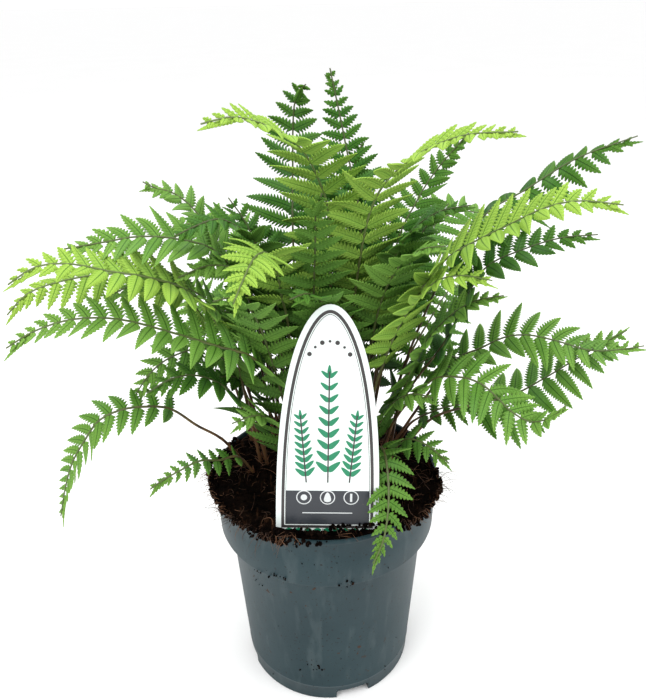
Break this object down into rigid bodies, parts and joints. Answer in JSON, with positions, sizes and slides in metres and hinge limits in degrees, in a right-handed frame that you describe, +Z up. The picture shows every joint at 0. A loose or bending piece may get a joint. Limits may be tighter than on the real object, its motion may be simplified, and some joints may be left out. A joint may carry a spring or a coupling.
{
  "type": "potted fern",
  "caption": "Leafy fern with arching, finely cut fronds growing in a round plastic nursery pot filled with peat, with a flat stick-in plant label; it stands on its pot.",
  "frame": {"origin": "middle of the pot's underside, on the surface it stands on", "axes": "+Z up along the pot's axis; -Y towards the front, where the label stands; +X to the right as seen from the front"},
  "size_m": [0.424, 0.2804, 0.46],
  "materials": {
    "pot_plastic": "satin dark blue-grey moulded plastic, lightly scuffed and dusted with peat",
    "peat": "moist, near-black fibrous peat; wood stands in for it",
    "label_plastic": "thin white printed plastic, semi-gloss",
    "leaf_bright": "young yellow-green leaf, soft sheen; paper stands in for it",
    "leaf_green": "mid-green leaf, soft sheen; paper stands in for it",
    "leaf_shade": "older dark green leaf, soft sheen; paper stands in for it"
  },
  "bodies": {
    "root": {"pot": "pot_plastic", "soil": "peat", "label": "label_plastic", "frond_crown_arch": "leaf_bright", "frond_right_front_arch": "leaf_bright", "frond_bright_young": "leaf_bright", "frond_left_front_long": "leaf_green", "frond_right_light": "leaf_bright", "frond_right_front_curl": "leaf_green", "frond_left_upper": "leaf_green", "frond_right_mid_arch": "leaf_green", "frond_right_low": "leaf_green", "frond_left_droop": "leaf_green", "frond_left_far": "leaf_bright", "frond_right_dark_stem": "leaf_shade", "frond_far_right_long": "leaf_shade", "frond_left_low": "leaf_green", "frond_left_small": "leaf_green", "frond_label_side": "leaf_green", "frond_left_top": "leaf_green", "frond_left_dark": "leaf_shade", "frond_back_upright": "leaf_shade", "frond_back_left_upright": "leaf_shade", "frond_right_back_arch": "leaf_shade", "frond_centre_left_inner": "leaf_green", "frond_centre_fine": "leaf_shade", "frond_right_yellow": "leaf_bright", "frond_right_inner_high": "leaf_shade", "frond_right_inner_mid": "leaf_green", "frond_left_mid": "leaf_green", "frond_left_low_inner": "leaf_shade", "frond_left_edge": "leaf_bright", "frond_right_small": "leaf_green", "frond_label_right_small": "leaf_green", "frond_back_mid_arch": "leaf_shade", "frond_back_left_arch": "leaf_green", "frond_back_right_arch": "leaf_green", "frond_back_left_low": "leaf_green", "frond_back_right_low": "leaf_green", "frond_back_low": "leaf_shade", "frond_inner_left_low": "leaf_shade", "frond_inner_left_front": "leaf_green", "frond_inner_mid": "leaf_shade", "frond_inner_right_front": "leaf_green", "frond_inner_right_low": "leaf_shade", "frond_back_inner_left": "leaf_shade", "frond_back_inner_right": "leaf_shade", "frond_left_centre": "leaf_green", "frond_centre_front": "leaf_shade", "frond_centre_right": "leaf_green", "frond_back_centre": "leaf_shade", "frond_left_back_upright": "leaf_shade", "frond_right_back_upright": "leaf_shade"}
  },
  "joints": []
}
